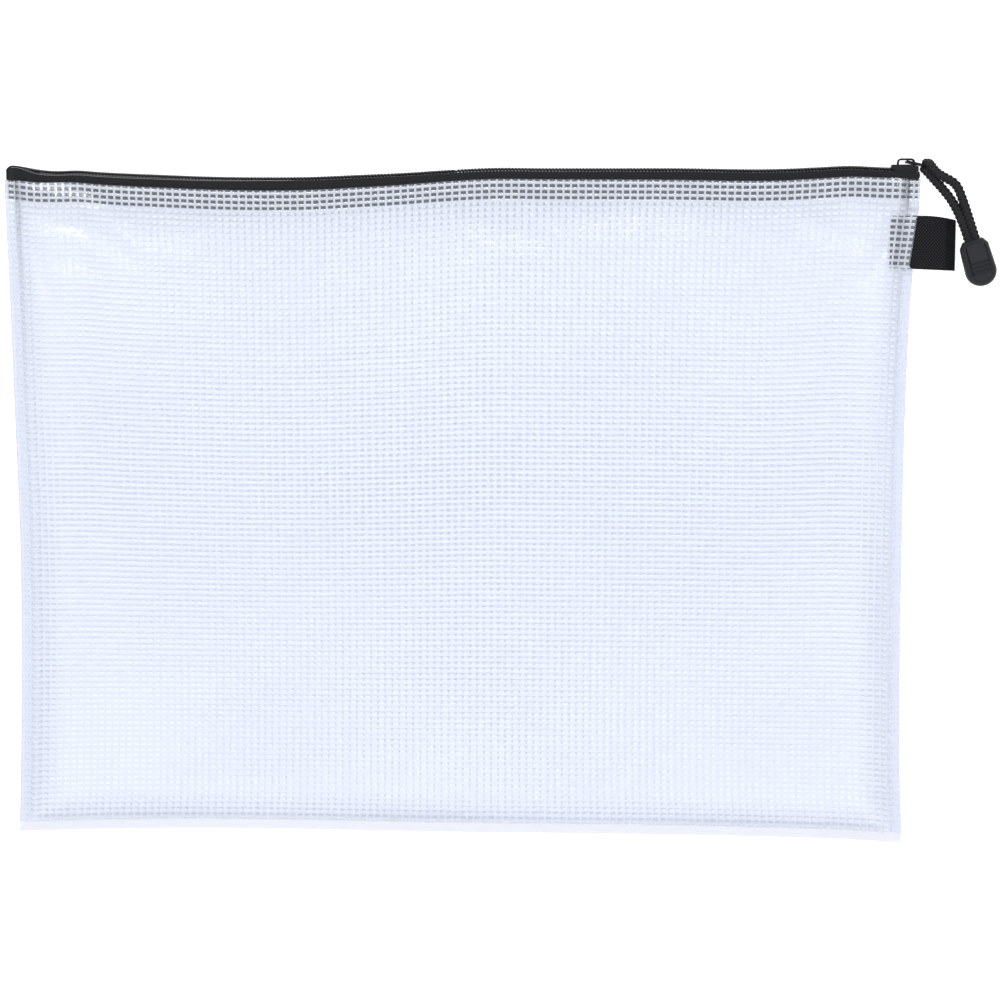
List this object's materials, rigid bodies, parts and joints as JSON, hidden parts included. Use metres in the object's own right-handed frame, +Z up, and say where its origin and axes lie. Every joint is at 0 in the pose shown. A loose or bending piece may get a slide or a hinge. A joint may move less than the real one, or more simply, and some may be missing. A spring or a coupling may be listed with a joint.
{
  "type": "zip-top document wallet",
  "caption": "Flat clear wallet of mesh-reinforced film for loose papers, welded round the sides, with a coil zip along the mouth, a cord zip pull and a ribbon grab tab.",
  "frame": {"origin": "middle of the back sheet's resting face, at half the wallet's width and height", "axes": "+X along the zip to the end where the slider rests, +Y towards the zip, +Z up out of the front sheet"},
  "size_m": [0.3823, 0.2678, 0.0137],
  "materials": {
    "mesh_film": "clear film laminated over a white thread mesh",
    "zip_tape": "fine woven tape",
    "zip_coil": "satin filament",
    "slider_metal": "black baked enamel",
    "cord_braid": "round braid",
    "tip_moulding": "soft satin moulding",
    "ribbon_weave": "dotted woven ribbon"
  },
  "bodies": {
    "back": {"back_panel": "mesh_film", "back_tape": "zip_tape", "back_coil": "zip_coil", "ribbon_tab": "ribbon_weave"},
    "front": {"front_panel": "mesh_film", "front_tape": "zip_tape", "front_coil": "zip_coil"},
    "slider": {"slider_body": "slider_metal"},
    "tab": {"pull_tab": "slider_metal"},
    "pull": {"pull_cord": "cord_braid", "cord_tip": "tip_moulding"}
  },
  "joints": [
    {"name": "zip_slide", "type": "slide", "parent": "back", "child": "slider", "axis": [-1, 0, 0], "range_m": [0, 0.338], "deforming": ["front_coil", "back_coil"]},
    {"name": "tab_flip", "type": "hinge", "parent": "slider", "child": "tab", "pos_m": [0.1717, 0.13455, 0.00385], "axis": [0, 0, 1], "range_deg": [0, 196]},
    {"name": "cord_swing", "type": "hinge", "parent": "tab", "child": "pull", "pos_m": [0.17863, 0.13301, 0.00385], "axis": [0, 0, 1], "range_deg": [-30, 60], "deforming": ["pull_cord"]},
    {"name": "mouth_open", "type": "hinge", "parent": "back", "child": "front", "pos_m": [0, -0.132, 0.00385], "axis": [1, 0, 0], "range_deg": [0, 8], "deforming": ["front_panel", "front_tape"]}
  ]
}
